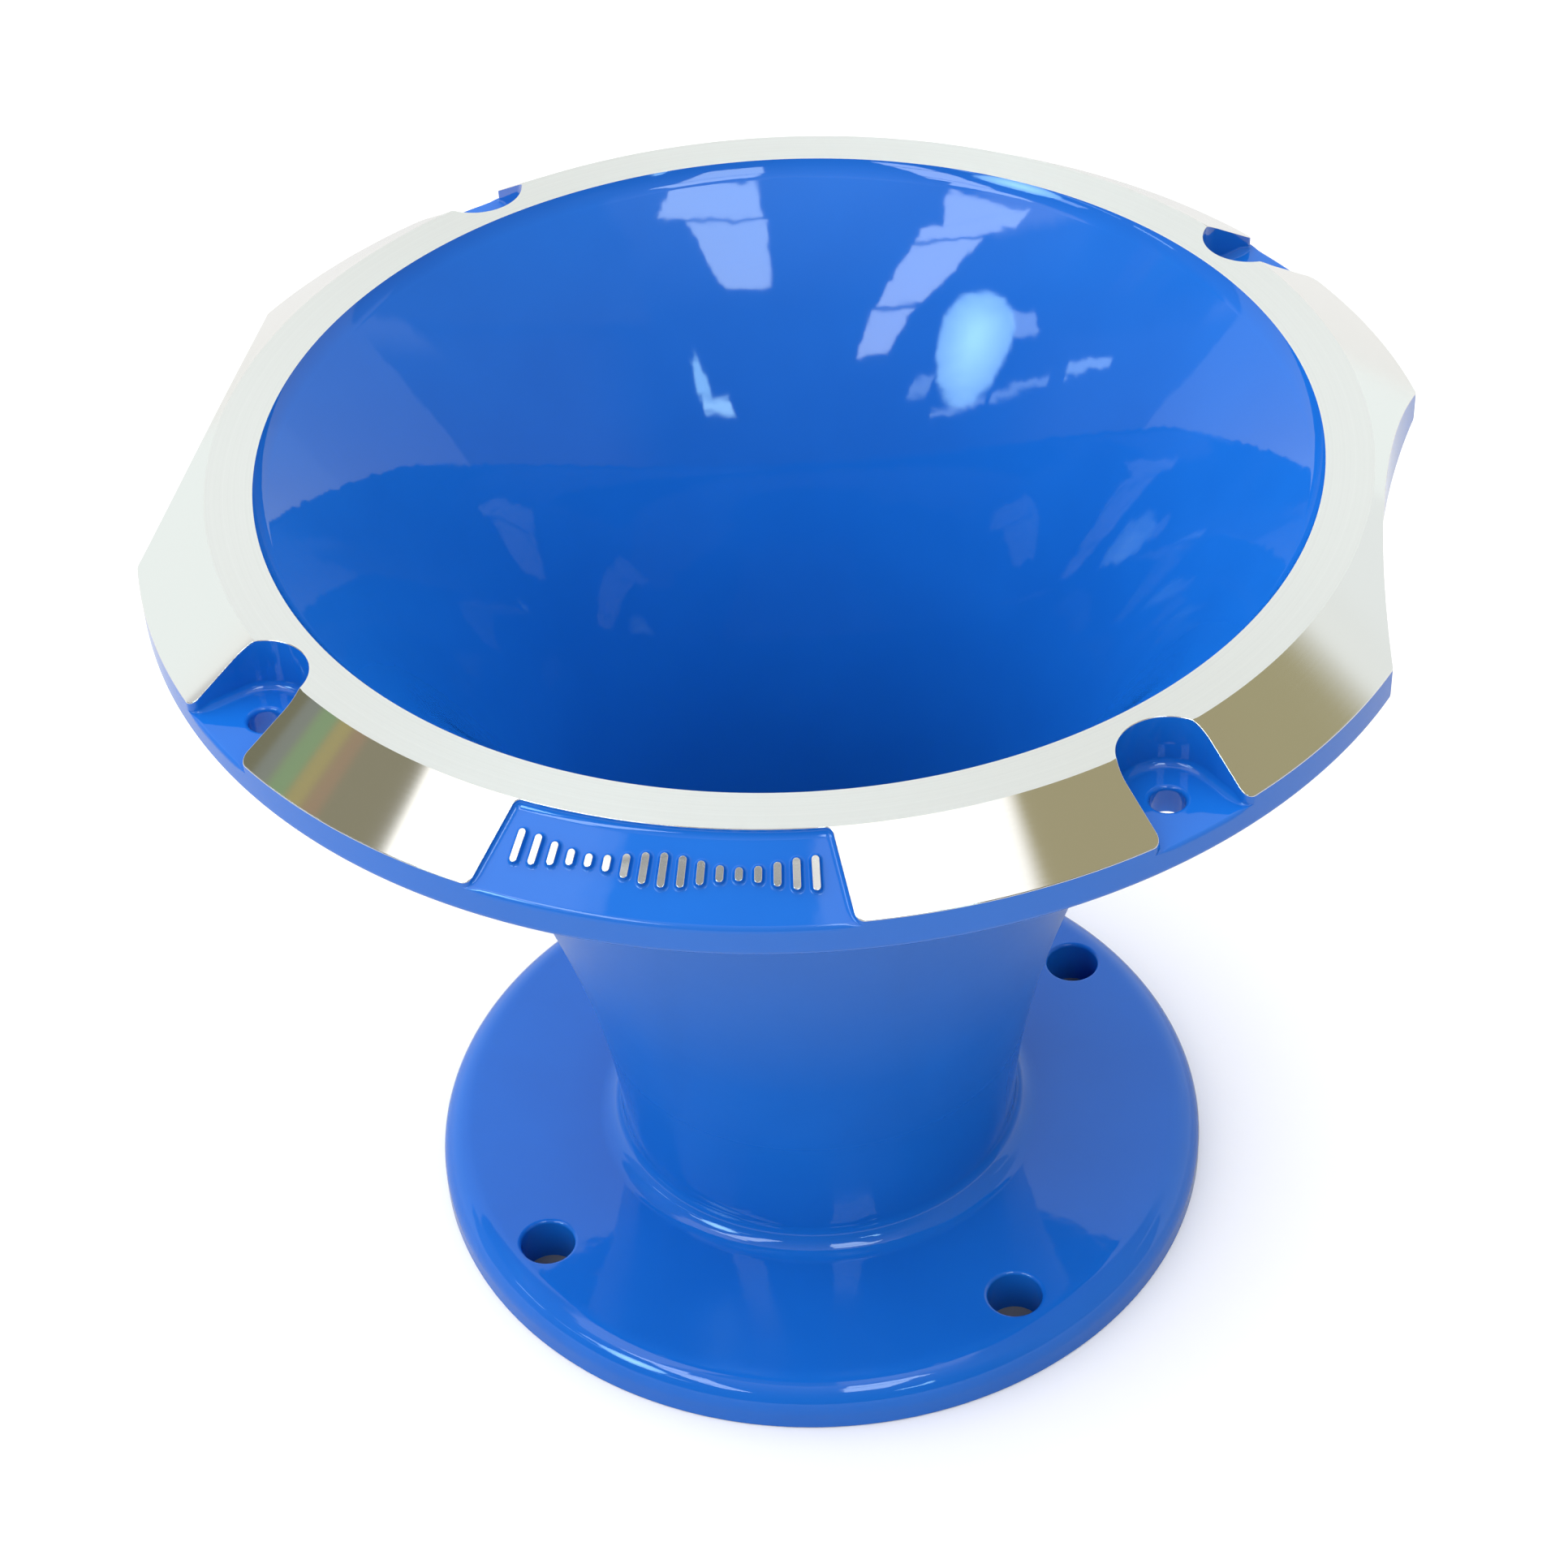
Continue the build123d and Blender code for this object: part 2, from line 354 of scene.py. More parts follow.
def bay_curve():
    """Half of the nameplate bay's wall, from its middle to the rim."""
    across = np.array([-np.sin(BAY_SPLAY), np.cos(BAY_SPLAY)])
    along = np.array([np.cos(BAY_SPLAY), np.sin(BAY_SPLAY)])
    start = np.array([np.sqrt(LAND_RADIUS**2 - BAY_HALF_WIDTH**2), BAY_HALF_WIDTH])
    distance = start @ across
    corner = rim_corner(across, distance)
    inner_distance = distance - BAY_CORNER
    inner_reach = np.sqrt((LAND_RADIUS + BAY_CORNER) ** 2 - inner_distance**2)
    inner = inner_distance * across + inner_reach * along
    land_edge = arc((0.0, 0.0), LAND_RADIUS, 0.0, heading_of(inner), 1.0)
    inner_round = arc(inner, BAY_CORNER, heading_of(inner) + np.pi, heading_of(across), -1.0)
    side = line(inner + BAY_CORNER * across, corner - CORNER * across, -across, 10)
    outer = arc(corner, CORNER, heading_of(-across), heading_of(corner), 1.0)
    return joined([land_edge, inner_round, side, outer])


def scallop_curve():
    """Half of a scallop's wall, from its waist to the rim."""
    centre_distance = SCALLOP_WAIST + SCALLOP_RADIUS
    reach = RIM_RADIUS - CORNER
    far = SCALLOP_RADIUS + CORNER
    outward = (centre_distance**2 + reach**2 - far**2) / (2 * centre_distance)
    corner = np.array([outward, np.sqrt(reach**2 - outward**2)])
    centre = np.array([centre_distance, 0.0])
    towards = corner - centre
    turned = np.arctan2(towards[1], towards[0])
    hollow = arc(centre, SCALLOP_RADIUS, np.pi, turned, -1.0)
    outer = arc(corner, CORNER, turned - np.pi, heading_of(corner), 1.0)
    return joined([hollow, outer])


def whole(half):
    """Both halves of a feature."""
    return joined([half.mirrored(), half])


def rim_arc(start, end):
    """A stretch of the rim between two azimuths."""
    count = max(2, int(np.ceil((end - start) / np.radians(1.0))))
    outward = direction(np.linspace(start, end, count + 1))
    return Curve(RIM_RADIUS * outward, outward)


def opening_arc(start, end):
    """The rim's curve across an opening. Its points crowd towards the corners, where the floor ends in tips."""
    crowded = OPENING_TIP * np.linspace(0.0, 1.0, 10)[:-1] ** 2
    middle = rim_arc(start + OPENING_TIP, end - OPENING_TIP)
    before = direction(start + crowded)
    after = direction(end - crowded[::-1])
    outward = np.concatenate([before, middle.normals, after])
    return Curve(RIM_RADIUS * outward, outward)


def distance_between(points, path):
    """Distance from each point to a path of straight pieces."""
    start, step = path[:-1], np.diff(path, axis=0)
    apart = points[:, None] - start
    share = np.clip((apart * step).sum(-1) / np.maximum((step**2).sum(-1), 1e-12), 0.0, 1.0)
    return radius_of(apart - share[..., None] * step).min(1)


def circle(radius, centre=(0.0, 0.0), steps=TURN_STEPS, side=1.0):
    """A closed circle whose last point repeats its first."""
    outward = direction(np.linspace(0.0, 2 * np.pi, steps + 1))
    outward[-1] = outward[0]
    return Curve(np.asarray(centre) + radius * outward, side * outward)


# Features round the rim, in order of azimuth: what they are, where they are, and their wall.
features = [("bay", 0.0, whole(bay_curve()))]
for azimuth in BOLT_AZIMUTHS:
    features.append(("pocket", azimuth, whole(pocket_curve())))
for azimuth in (90.0, 270.0):
    features.append(("scallop", azimuth, whole(scallop_curve())))
features.sort(key=lambda feature: feature[1])

stretches = []               # (kind, wall curve, the rim's curve across the feature's opening)
full = 2 * np.pi
for number, (kind, azimuth, curve) in enumerate(features):
    placed = curve.turned(np.radians(azimuth))
    first, last = placed.span() % full
    if kind == "bay":
        first -= full
    opening = opening_arc(first, last) if kind != "scallop" else None
    stretches.append((kind, placed, opening))
    next_curve = features[(number + 1) % len(features)]
    next_first = next_curve[2].turned(np.radians(next_curve[1])).span()[0] % full
    stretches.append(("rim", rim_arc(last, next_first), None))


# ---------------------------------------------------------------- rows along a plan curve

def edge_rows(curve, level, rounding, steps=4):
    """Rows from a level face over a rounded edge onto the wall below it."""
    rows = []
    wall = lift(curve.normals, 0.0)
    for angle in np.linspace(0.0, np.pi / 2, steps + 1):
        plan = curve.points - (rounding * (1 - np.sin(angle)))[:, None] * curve.normals
        places = lift(plan, level.height(radius_of(plan)) - rounding * (1 - np.cos(angle)))
        top = level.normals(plan, radius_of(plan) + 1e-3)
        rows.append((places, top * np.cos(angle) + wall * np.sin(angle)))
    return rows


def foot_rows(curve, level, rounding, rise, steps=7):
    """Rows from a wall over a hollow fillet onto the floor at its foot. Rise is its height over its width."""
    rows = []
    wall = lift(curve.normals, 0.0)
    for angle in np.linspace(0.0, np.pi / 2, steps + 1):
        plan = curve.points + (rounding * (1 - np.cos(angle)))[:, None] * curve.normals
        places = lift(plan, level.height(radius_of(plan)) + rise * rounding * (1 - np.sin(angle)))
        floor = level.normals(plan, radius_of(plan))
        rows.append((places, wall * rise * np.cos(angle) + floor * np.sin(angle)))
    return rows


def lower_rows(curve, z, rounding, steps=7):
    """Rows from a wall over a rounded lower edge onto the face below."""
    rows = []
    wall = lift(curve.normals, 0.0)
    down = lift(np.zeros_like(curve.points), -1.0)
    for angle in np.linspace(0.0, np.pi / 2, steps + 1):
        plan = curve.points - rounding * (1 - np.cos(angle)) * curve.normals
        places = lift(plan, z + rounding * (1 - np.sin(angle)))
        rows.append((places, wall * np.cos(angle) + down * np.sin(angle)))
    return rows


def wall_row(curve, z):
    """One row on a wall."""
    return lift(curve.points, z), lift(curve.normals, 0.0)


def revolve(surface, profile, material):
    """Turns a profile of (radius, height, normal's radial part, normal's vertical part) about the axis."""
    ring = circle(1.0).points
    rows = []
    for radius, z, outward, upward in profile:
        rows.append((lift(ring * radius, z), lift(ring * outward, upward)))
    surface.add_grid(rows, material)


def profile_arc(centre, radius, start, end, side, steps):
    """Part of a profile: an arc in radius and height. Side is -1 where the arc is hollow."""
    angle = np.linspace(start, end, steps + 1)
    return [
        (centre[0] + radius * np.cos(a), centre[1] + radius * np.sin(a), side * np.cos(a), side * np.sin(a))
        for a in angle
    ]


# ---------------------------------------------------------------- the casting and its bright bezel

casting = Surface()
bezel = Surface()

bright_loop = []
wall_loop = []
underside_loop = []


def open_loop(points):
    """Points of a curve without its last one, which starts the next curve."""
    return points[:-1]


def floor_height(kind):
    """Height at which the floor of a cut-out meets the rim."""
    return RIM_TOP - BAY_DEPTH if kind == "bay" else POCKET_FLOOR


for number, (kind, curve, opening) in enumerate(stretches):
    wall_top = cone_height(radius_of(curve.points)) - SKIN
    edge = edge_rows(curve, bright_face, np.full(len(curve.points), BRIGHT_EDGE))
    bright_loop.append(open_loop(edge[0][0][:, :2]))
    wall_loop.append(open_loop(curve.points))
    bezel.add_grid(edge, CONE)
    bezel.add_grid([edge[-1], wall_row(curve, wall_top)], PAINT)
    if opening is None:
        lower = lower_rows(curve, RIM_UNDERSIDE, RIM_ROUND)
        neighbours = (stretches[number - 1][0], stretches[(number + 1) % len(stretches)][0])
        start_height, end_height = (floor_height(neighbour) for neighbour in neighbours)
        corner_row = wall_row(curve, np.linspace(start_height, end_height, len(curve.points)))
        casting.add_grid([wall_row(curve, wall_top), corner_row] + lower, PAINT)
        underside_loop.append(open_loop(lower[-1][0][:, :2]))
        continue
    floor = bay_floor if kind == "bay" else pocket_floor
    foot_size, foot_rise = (BAY_FOOT, BAY_FOOT_RISE) if kind == "bay" else (POCKET_FOOT, 1.0)
    gap = np.maximum(RIM_RADIUS - radius_of(curve.points), 0.0)
    foot = foot_rows(curve, floor, np.minimum(foot_size, 0.45 * gap), foot_rise)
    casting.add_grid([wall_row(curve, wall_top)] + foot, PAINT)
    foot_line = foot[-1][0][:, :2]
    room = distance_between(opening.points, foot_line)
    opening_edge = edge_rows(opening, floor, np.minimum(FLOOR_EDGE, 0.45 * room))
    lower = lower_rows(opening, RIM_UNDERSIDE, RIM_ROUND)
    casting.add_grid(opening_edge + lower, PAINT)
    underside_loop.append(open_loop(lower[-1][0][:, :2]))
    floor_loop = np.concatenate([foot_line[:-1], opening_edge[0][0][::-1][:-1, :2]])
    holes = []
    if kind == "pocket":
        middle = POCKET_RADIUS * direction(np.arctan2(opening.points[:, 0].mean(), -opening.points[:, 1].mean()))
        screw = circle(SCREW_RADIUS, middle, steps=48, side=-1.0)
        screw_edge = edge_rows(screw, pocket_floor, np.full(len(screw.points), HOLE_EDGE), steps=6)
        casting.add_grid(screw_edge + [wall_row(screw, RIM_UNDERSIDE)], PAINT)
        holes = [open_loop(screw_edge[0][0][:, :2])]
    fill(casting, floor, [floor_loop] + holes, PAINT, rings=(80.5, 82.5, 84.5, 86.5))

bright_loop = np.concatenate(bright_loop)
wall_loop = np.concatenate(wall_loop)
underside_loop = np.concatenate(underside_loop)

# The land and the cone, then the hidden faces between the bright layer and the casting.
mouth = circle(MOUTH_RADIUS)
crease = circle(LAND_RADIUS).points[:-1]
bright_rings = (73.5, 75.0, 76.7, 80.2, 82.0, 84.0, 86.0, 87.4)


def bright_number(radius):
    """Material number of the bright face at a radius."""
    return np.where(radius > LAND_RADIUS, CONE, LAND)


fill(bezel, bright_face, [bright_loop, mouth.points[:-1]], bright_number, bright_rings, [crease], margin=0.35)

# The lip's hollow arc, from the land's inner edge down to the flare. The bright layer takes its top.
lip_chord = np.hypot(MOUTH_RADIUS - LIP_RADIUS, TOP - LIP_HEIGHT)
lip_size = (lip_chord**2 / 4 + LIP_BOW**2) / (2 * LIP_BOW)
lip_normal = np.array([-(TOP - LIP_HEIGHT), MOUTH_RADIUS - LIP_RADIUS]) / lip_chord
lip_centre = np.array([MOUTH_RADIUS + LIP_RADIUS, TOP + LIP_HEIGHT]) / 2 + (lip_size - LIP_BOW) * lip_normal
lip_start = np.arcsin((TOP - lip_centre[1]) / lip_size)
lip_split = np.arcsin((TOP - SKIN - lip_centre[1]) / lip_size)
lip_end = np.arctan2(LIP_HEIGHT - lip_centre[1], LIP_RADIUS - lip_centre[0])
revolve(bezel, profile_arc(lip_centre, lip_size, lip_start, lip_split, -1.0, 2), PAINT)
revolve(casting, profile_arc(lip_centre, lip_size, lip_split, lip_end, -1.0, 10), PAINT)

seat_ring = circle(lip_centre[0] + lip_size * np.cos(lip_split)).points[:-1]
fill(bezel, skin_underside, [wall_loop, seat_ring], PAINT, bright_rings, [crease], margin=0.35)
fill(casting, skin_seat, [wall_loop, seat_ring], PAINT, bright_rings, [crease], margin=0.35)

# The flare: a catenary turned about the axis that opens out a little more near the mouth, then the throat.
flare_scale = (LIP_HEIGHT - THROAT_LAND) / np.arccosh((LIP_RADIUS - MOUTH_OPENING) / THROAT_RADIUS)
flare = []
for share in np.linspace(0.0, 1.0, 106):
    z = LIP_HEIGHT - (LIP_HEIGHT - THROAT_LAND) * share
    opened = max(z - LIP_HEIGHT + MOUTH_OPENING_DEPTH, 0.0) / MOUTH_OPENING_DEPTH
    radius = THROAT_RADIUS * np.cosh((z - THROAT_LAND) / flare_scale) + MOUTH_OPENING * opened**2
    growth = THROAT_RADIUS / flare_scale * np.sinh((z - THROAT_LAND) / flare_scale)
    growth += 2 * MOUTH_OPENING * opened / MOUTH_OPENING_DEPTH
    flare.append((radius, z, -1.0, growth))
flare.append((THROAT_RADIUS, 0.0, -1.0, 0.0))
revolve(casting, flare, PAINT)

# The outside of the neck and bell, with a fillet at either end.
outline = np.polyfit([z for _, z in NECK_OUTLINE], [r for r, _ in NECK_OUTLINE], 4)
outline_growth = np.polyder(outline)


def outside_row(z):
    """Radius, height and normal of the neck's outside."""
    return np.polyval(outline, z), z, 1.0, -np.polyval(outline_growth, z)


def root_fillet(rounding, centre_height):
    """Where a fillet of this size touches the outside, its centre, and the angle at which it touches."""
    heights = np.linspace(FLANGE_TOP, RIM_UNDERSIDE, 2000)
    growth = np.polyval(outline_growth, heights)
    length = np.hypot(1.0, growth)
    z = np.interp(centre_height, heights - rounding * growth / length, heights)
    growth = np.polyval(outline_growth, z)
    length = np.hypot(1.0, growth)
    centre = (np.polyval(outline, z) + rounding / length, z - rounding * growth / length)
    return z, centre, np.arctan2(growth, -1.0)


neck_start, neck_centre, neck_angle = root_fillet(NECK_ROOT, FLANGE_TOP + NECK_ROOT)
bell_end, bell_centre, bell_angle = root_fillet(BELL_ROOT, RIM_UNDERSIDE - BELL_ROOT)
revolve(casting, profile_arc(neck_centre, NECK_ROOT, 1.5 * np.pi, neck_angle, -1.0, 12), PAINT)
revolve(casting, [outside_row(z) for z in np.linspace(neck_start, bell_end, 66)], PAINT)
revolve(casting, profile_arc(bell_centre, BELL_ROOT, bell_angle, np.pi / 2, -1.0, 8), PAINT)

# The driver flange: its rounded edge, its lower edge, and the two faces with the bolt holes.
round_start = 59.0
round_centre = (FLANGE_RADIUS - FLANGE_ROUND, FLANGE_TOP - FLANGE_ROUND)
round_angle = np.arccos((round_start - round_centre[0]) / FLANGE_ROUND)
foot_centre = (FLANGE_RADIUS - FLANGE_FOOT, FLANGE_FOOT)
revolve(casting, profile_arc(round_centre, FLANGE_ROUND, round_angle, 0.0, 1.0, 10), PAINT)
revolve(casting, [(FLANGE_RADIUS, round_centre[1], 1.0, 0.0), (FLANGE_RADIUS, FLANGE_FOOT, 1.0, 0.0)], PAINT)
revolve(casting, profile_arc(foot_centre, FLANGE_FOOT, 0.0, -np.pi / 2, 1.0, 4), PAINT)

bolt_loops = []
bolt_floor_loops = []
screw_floor_loops = []
for azimuth in np.radians(BOLT_AZIMUTHS):
    bolt = circle(BOLT_HOLE_RADIUS, BOLT_RADIUS * direction(azimuth), steps=64, side=-1.0)
    bolt_edge = edge_rows(bolt, flange_face, np.full(len(bolt.points), HOLE_EDGE), steps=6)
    casting.add_grid(bolt_edge + [wall_row(bolt, 0.0)], PAINT)
    bolt_loops.append(bolt_edge[0][0][:-1, :2])
    bolt_floor_loops.append(bolt.points[:-1])
    screw = circle(SCREW_RADIUS, POCKET_RADIUS * direction(azimuth), steps=48, side=-1.0)
    screw_floor_loops.append(screw.points[:-1])

neck_foot = circle(neck_centre[0]).points[:-1]
flange_rings = (39.0, 43.0, 47.0, 51.0, 54.0, 55.0, 55.5, 56.0, 56.5, 57.0, 57.5, 58.0, 58.5)
round_ring = circle(round_start).points[:-1]
fill(casting, flange_face, [round_ring, neck_foot] + bolt_loops, PAINT, flange_rings, by_corner=True, margin=0.3)
floor_ring = circle(FLANGE_RADIUS - FLANGE_FOOT).points[:-1]
throat_ring = circle(THROAT_RADIUS).points[:-1]
fill(casting, flange_underside, [floor_ring, throat_ring] + bolt_floor_loops, PAINT, (32.0, 40.0, 56.5))
bell_ring = circle(bell_centre[0]).points[:-1]
fill(casting, rim_underside, [underside_loop, bell_ring] + screw_floor_loops, PAINT, (80.0, 84.5))

# The bars: bright tops flush with the cone, sides that lean out to a fillet on the bay's floor.
bars = Surface()
BAR_SIDE = 0
BAR_TOP = 1
bar_height = BAY_DEPTH / np.hypot(1.0, CONE_SLOPE)
side_height = bar_height - BAR_FOOT
for number in range(BAR_COUNT):
    place = 2 * number / (BAR_COUNT - 1) - 1
    azimuth = np.radians(BAR_HALF_SPAN * place)
    swell = (1 + np.cos(np.pi * BAR_WAVES * place)) / 2
    straight = (BAR_SHORTEST + (BAR_LONGEST - BAR_SHORTEST) * swell - BAR_WIDTH) / 2
    half_turn = np.linspace(-np.pi / 2, np.pi / 2, 13)
    upper = np.stack([BAR_WIDTH / 2 * np.sin(half_turn), straight + BAR_WIDTH / 2 * np.cos(half_turn)], -1)
    outline_points = np.concatenate([upper, -upper, upper[:1]])
    upper_normal = np.stack([np.sin(half_turn), np.cos(half_turn)], -1)
    outline_normal = np.concatenate([upper_normal, -upper_normal, upper_normal[:1]])
    outward = direction(azimuth)
    sideways = lift(direction(azimuth + np.pi / 2), 0.0)
    downhill = unit(lift(outward, -CONE_SLOPE))
    upward = unit(lift(outward * CONE_SLOPE, 1.0))
    origin = lift(outward * BAR_RING, cone_height(BAR_RING))
    axes = np.array([sideways, downhill])
    out = outline_normal @ axes

    def bar_row(spread, depth, lean):
        """A row round the bar, spread sideways and sunk below the bar's top."""
        places = origin + outline_points @ axes + spread * out - depth * upward
        return places, out * np.cos(lean) + upward * np.sin(lean)

    rows = []
    for lean in np.linspace(np.pi / 2, 0.15, 4):
        rows.append(bar_row(0.06 * (np.cos(lean) - 1), 0.06 * (1 - np.sin(lean)), lean))
    rows.append(bar_row(BAR_DRAFT * 0.5, side_height / 2, 0.15))
    for lean in np.linspace(0.15, np.pi / 2, 5):
        spread = BAR_DRAFT + BAR_FOOT * (1 - np.cos(lean))
        rows.append(bar_row(spread, side_height + BAR_FOOT * np.sin(lean), lean))
    bars.add_grid(rows[:3], BAR_TOP)
    bars.add_grid(rows[2:], BAR_SIDE)
    top = rows[0][0]
    middle = np.broadcast_to(top[:-1].mean(0), top[:-1].shape)
    corners = np.stack([middle, top[:-1], top[1:]], 1)
    bars.add(corners, np.broadcast_to(upward, corners.shape), BAR_TOP)
    bottom = rows[-1][0]
    middle = np.broadcast_to(bottom[:-1].mean(0), bottom[:-1].shape)
    corners = np.stack([middle, bottom[:-1], bottom[1:]], 1)
    bars.add(corners, np.broadcast_to(-upward, corners.shape), BAR_SIDE)


# ---------------------------------------------------------------- materials

def new_material(name):
    """A material with an empty node tree, its nodes, its links and its Principled shader."""
    material = bpy.data.materials.new(name)
    material.use_nodes = True
    tree = material.node_tree
    shader = next(n for n in tree.nodes if n.type == "BSDF_PRINCIPLED")
    return material, tree, shader


def node(tree, kind, inputs=None, **settings):
    """Adds a node, sets its properties and its inputs. An input may be a value or another node's output."""
    made = tree.nodes.new(kind)
    for key, value in settings.items():
        setattr(made, key, value)
    for key, value in (inputs or {}).items():
        if isinstance(value, bpy.types.NodeSocket):
            tree.links.new(value, made.inputs[key])
        else:
            made.inputs[key].default_value = value
    return made


def calculate(tree, operation, *values):
    """A maths node's output."""
    return node(tree, "ShaderNodeMath", dict(enumerate(values)), operation=operation).outputs["Value"]


def dull_and_painted_sheen_shares(tree, place):
    """Where the outside's paint is dull, and where its colour also holds painted reflection and shade: up the neck, and
    a little on the rim.
    """
    axes = node(tree, "ShaderNodeSeparateXYZ", {"Vector": place})
    height = axes.outputs["Z"]
    plan = node(tree, "ShaderNodeCombineXYZ", {"X": axes.outputs["X"], "Y": axes.outputs["Y"]}).outputs["Vector"]
    facing = node(tree, "ShaderNodeNewGeometry").outputs["Normal"]
    outward = node(tree, "ShaderNodeVectorMath", {0: facing, 1: plan}, operation="DOT_PRODUCT").outputs["Value"]
    distance = node(tree, "ShaderNodeVectorMath", {0: plan}, operation="LENGTH").outputs["Value"]
    outside = calculate(tree, "GREATER_THAN", outward, 0.002)
    bell = calculate(tree, "LESS_THAN", height, RIM_UNDERSIDE * MM)
    rim = calculate(tree, "GREATER_THAN", distance, (RIM_RADIUS - 0.5) * MM)
    share = calculate(tree, "MAXIMUM", bell, calculate(tree, "MULTIPLY", rim, 0.22))
    share = calculate(tree, "MULTIPLY", share, outside)
    shares = []
    for low, high in ((0.014, 0.034), (0.046, 0.092)):
        climb = node(tree, "ShaderNodeMapRange", {"Value": height, "From Min": low, "From Max": high})
        shares.append(calculate(tree, "MULTIPLY", share, climb.outputs["Result"]))
    return shares


def paint_material():
    """Gloss blue paint: a slightly uneven colour under a clear, faintly rippled gloss coat, with painted reflection and
    shade on the outside.
    """
    material, tree, shader = new_material("blue_paint")
    place = node(tree, "ShaderNodeTexCoord").outputs["Object"]
    clouds = node(tree, "ShaderNodeTexNoise", {"Vector": place, "Scale": 45.0, "Detail": 3.0})
    colour = node(tree, "ShaderNodeValToRGB", {"Fac": clouds.outputs["Fac"]})
    dull, painted_sheen_share = dull_and_painted_sheen_shares(tree, place)
    painted_sheen_mix = node(tree, "ShaderNodeMix", data_type="RGBA")
    tree.links.new(painted_sheen_share, painted_sheen_mix.inputs[0])
    tree.links.new(colour.outputs["Color"], painted_sheen_mix.inputs[6])
    # A paler colour laid over the blue: a painted reflection with painted shade, up the neck and on the rim.
    painted_sheen_mix.inputs[7].default_value = (0.046, 0.145, 0.47, 1.0)
    colour.color_ramp.elements[0].position = 0.3
    colour.color_ramp.elements[0].color = (0.0055, 0.108, 0.470, 1.0)
    colour.color_ramp.elements[1].position = 0.7
    colour.color_ramp.elements[1].color = (0.0065, 0.120, 0.505, 1.0)
    ripple = node(tree, "ShaderNodeTexNoise", {"Vector": place, "Scale": 260.0, "Detail": 1.5})
    bump = node(tree, "ShaderNodeBump", {"Height": ripple.outputs["Fac"], "Strength": 0.045, "Distance": 0.0004})
    tree.links.new(painted_sheen_mix.outputs[2], shader.inputs["Base Color"])
    tree.links.new(bump.outputs["Normal"], shader.inputs["Coat Normal"])
    shader.inputs["Roughness"].default_value = 0.42
    shader.inputs["Specular IOR Level"].default_value = 0.0
    shader.inputs["Coat Weight"].default_value = 1.0
    roughness = calculate(tree, "MULTIPLY_ADD", dull, 0.27, 0.045)
    tree.links.new(roughness, shader.inputs["Coat Roughness"])
    shader.inputs["Coat IOR"].default_value = 1.5
    return material


def turned_parts(tree):
    """Radius and azimuth of the shaded point, and the direction of the tool marks."""
    place = node(tree, "ShaderNodeTexCoord").outputs["Object"]
    axes = node(tree, "ShaderNodeSeparateXYZ", {"Vector": place})
    plan = node(tree, "ShaderNodeCombineXYZ", {"X": axes.outputs["X"], "Y": axes.outputs["Y"]})
    radius = node(tree, "ShaderNodeVectorMath", {0: plan.outputs["Vector"]}, operation="LENGTH").outputs["Value"]
    azimuth = node(tree, "ShaderNodeMath", {0: axes.outputs["X"], 1: axes.outputs["Y"]}, operation="ARCTAN2")
    tangent = node(tree, "ShaderNodeTangent", direction_type="RADIAL", axis="Z").outputs["Tangent"]
    return radius, azimuth.outputs["Value"], tangent


def land_material():
    """The satin land: turned aluminium whose fine rings scatter the light evenly."""
    material, tree, shader = new_material("turned_land")
    radius, azimuth, tangent = turned_parts(tree)
    rings = node(tree, "ShaderNodeTexNoise", {"W": radius, "Scale": 2600.0, "Detail": 2.0}, noise_dimensions="1D")
    rough = node(tree, "ShaderNodeMapRange", {"Value": rings.outputs["Fac"], "To Min": 0.42, "To Max": 0.5})
    shade = node(tree, "ShaderNodeValToRGB", {"Fac": rings.outputs["Fac"]})
    shade.color_ramp.elements[0].color = (0.785, 0.79, 0.765, 1.0)
    shade.color_ramp.elements[1].color = (0.855, 0.86, 0.835, 1.0)
    tree.links.new(shade.outputs["Color"], shader.inputs["Base Color"])
    tree.links.new(rough.outputs["Result"], shader.inputs["Roughness"])
    tree.links.new(tangent, shader.inputs["Tangent"])
    shader.inputs["Metallic"].default_value = 0.85
    shader.inputs["Anisotropic"].default_value = 0.6
    shader.inputs["Anisotropic Rotation"].default_value = 0.25
    return material


def cone_material():
    """The mirror-turned cone: nearly polished along its rings, with a slight spread across them."""
    material, tree, shader = new_material("turned_cone")
    radius, azimuth, tangent = turned_parts(tree)
    rings = node(tree, "ShaderNodeTexNoise", {"W": radius, "Scale": 3200.0, "Detail": 2.0}, noise_dimensions="1D")
    rough = node(tree, "ShaderNodeMapRange", {"Value": rings.outputs["Fac"], "To Min": 0.08, "To Max": 0.11})
    shader.inputs["Base Color"].default_value = (0.88, 0.87, 0.83, 1.0)
    tree.links.new(rough.outputs["Result"], shader.inputs["Roughness"])
    tree.links.new(tangent, shader.inputs["Tangent"])
    shader.inputs["Metallic"].default_value = 1.0
    shader.inputs["Anisotropic"].default_value = 1.0
    shader.inputs["Anisotropic Rotation"].default_value = 0.25
    return material


paint = paint_material()
land = land_material()
cone = cone_material()

casting_piece = casting.object("painted_casting", [paint])
bezel_piece = bezel.object("bright_bezel", [paint, land, cone])
bars_piece = bars.object("plate_bars", [paint, cone])
for piece, cad_node, slot in (
    (casting_piece, "horn_body", "blue_paint"),
    (bezel_piece, "bezel_ring", "turned_aluminium"),
    (bars_piece, "nameplate_bars", "turned_aluminium_bars"),
):
    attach(piece, "root")
    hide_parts(cad_node)
for cad_node, material in (("horn_body", paint), ("bezel_ring", cone), ("nameplate_bars", cone)):
    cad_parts[cad_node].data.materials.clear()
    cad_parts[cad_node].data.materials.append(material)


# ---------------------------------------------------------------- floor, light and camera

FLOOR_SIDE = 14.0
FLOOR_BOUNCE = 0.85          # share of the floor's brightness that lights the object from below


